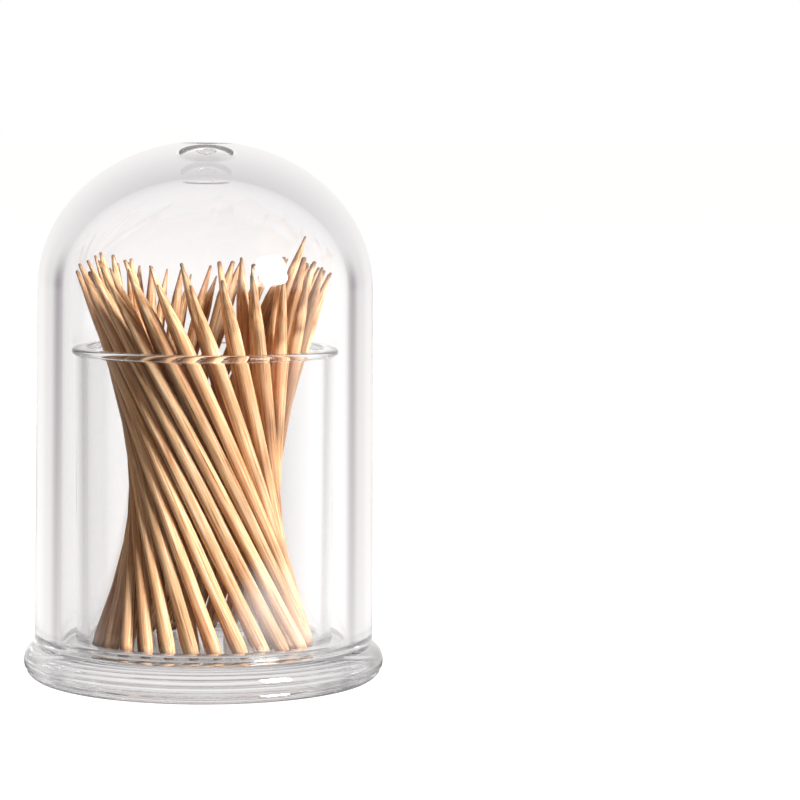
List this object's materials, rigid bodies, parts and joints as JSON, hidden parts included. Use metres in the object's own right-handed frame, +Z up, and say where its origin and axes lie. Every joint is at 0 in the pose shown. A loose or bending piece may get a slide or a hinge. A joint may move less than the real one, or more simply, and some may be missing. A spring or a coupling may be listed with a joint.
{
  "type": "toothpick holder",
  "caption": "Round clear toothpick holder: a domed cover lifts off a base whose locating ring holds a flanged cup of toothpicks.",
  "frame": {"origin": "middle of the base's underside, on the surface that the holder stands on", "axes": "+Z up along the common axis of base, cup and cover; +X to the right of the picture's view, +Y away from the viewer"},
  "size_m": [0.0548, 0.0548, 0.0815],
  "materials": {
    "clear_base": "clear polished polystyrene",
    "clear_cup": "clear polished polystyrene",
    "clear_cover": "clear polished polystyrene with a small gate mark",
    "birch": "raw turned birch, unvarnished, with fine grain along its length"
  },
  "bodies": {
    "holder": {"base": "clear_base", "cup": "clear_cup", "toothpick_01": "birch", "toothpick_02": "birch", "toothpick_03": "birch", "toothpick_04": "birch", "toothpick_05": "birch", "toothpick_06": "birch", "toothpick_07": "birch", "toothpick_08": "birch", "toothpick_09": "birch", "toothpick_10": "birch", "toothpick_11": "birch", "toothpick_12": "birch", "toothpick_13": "birch", "toothpick_14": "birch", "toothpick_15": "birch", "toothpick_16": "birch", "toothpick_17": "birch", "toothpick_18": "birch", "toothpick_19": "birch", "toothpick_20": "birch", "toothpick_21": "birch", "toothpick_22": "birch", "toothpick_23": "birch", "toothpick_24": "birch", "toothpick_25": "birch", "toothpick_26": "birch", "toothpick_27": "birch", "toothpick_28": "birch", "toothpick_29": "birch", "toothpick_30": "birch", "toothpick_31": "birch", "toothpick_32": "birch", "toothpick_33": "birch", "toothpick_34": "birch", "toothpick_35": "birch", "toothpick_36": "birch", "toothpick_37": "birch", "toothpick_38": "birch", "toothpick_39": "birch", "toothpick_40": "birch", "toothpick_41": "birch", "toothpick_42": "birch", "toothpick_43": "birch", "toothpick_44": "birch", "toothpick_45": "birch", "toothpick_46": "birch", "toothpick_47": "birch", "toothpick_48": "birch", "toothpick_49": "birch", "toothpick_50": "birch", "toothpick_51": "birch", "toothpick_52": "birch", "toothpick_53": "birch", "toothpick_54": "birch", "toothpick_55": "birch"},
    "cover": {"cover": "clear_cover"},
    "drawn_toothpick": {"drawn_toothpick": "birch"}
  },
  "joints": [
    {"name": "cover_lift", "type": "slide", "parent": "holder", "child": "cover", "axis": [0, 0, 1], "range_m": [0, 0.075]},
    {"name": "toothpick_draw", "type": "slide", "parent": "holder", "child": "drawn_toothpick", "axis": [0.3011, -0.1353, 0.944], "range_m": [0, 0.0025]}
  ]
}
